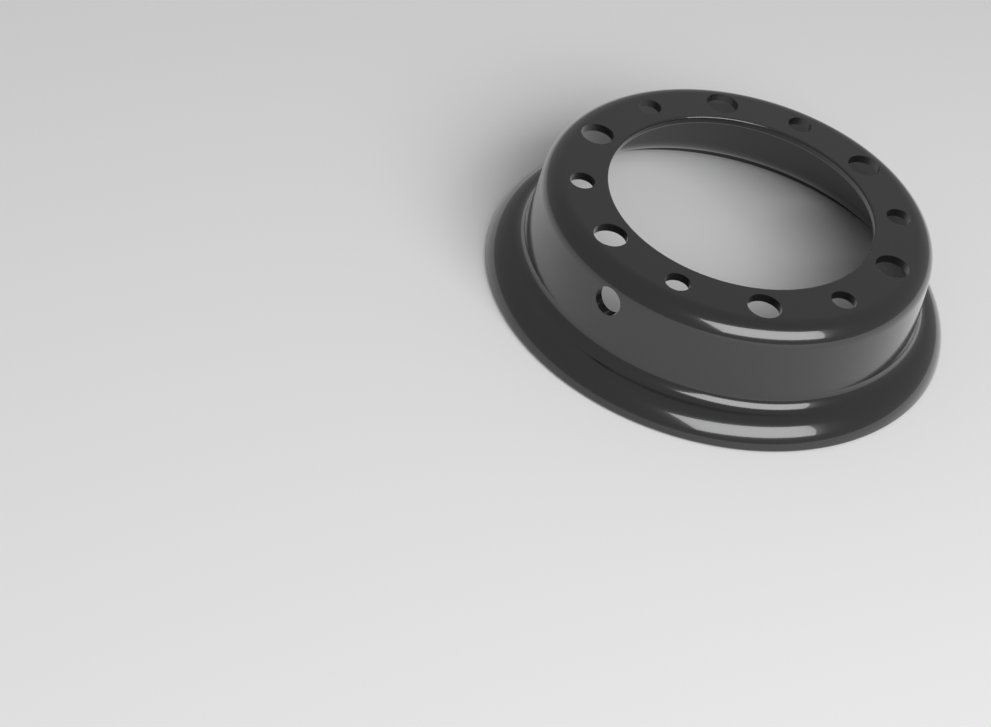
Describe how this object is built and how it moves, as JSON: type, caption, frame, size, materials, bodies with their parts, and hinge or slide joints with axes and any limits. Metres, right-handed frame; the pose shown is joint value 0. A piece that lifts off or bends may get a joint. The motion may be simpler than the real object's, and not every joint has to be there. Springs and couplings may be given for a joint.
{
  "type": "forklift wheel rim half",
  "caption": "Pressed steel half of a divided forklift wheel rim: bored disc with stud and clamp bolt holes, tapered bead seat, valve hole and curled flange.",
  "frame": {"origin": "centre of the centre bore, in the plane of the mating face", "axes": "+Z along the wheel axis, out of the mating face, away from the flange; a stud hole lies on +Y and a clamp bolt hole on +X"},
  "size_m": [0.361, 0.361, 0.088],
  "materials": {
    "gloss_black_paint": "gloss"
  },
  "bodies": {
    "root": {"rim_half": "gloss_black_paint"}
  },
  "joints": []
}
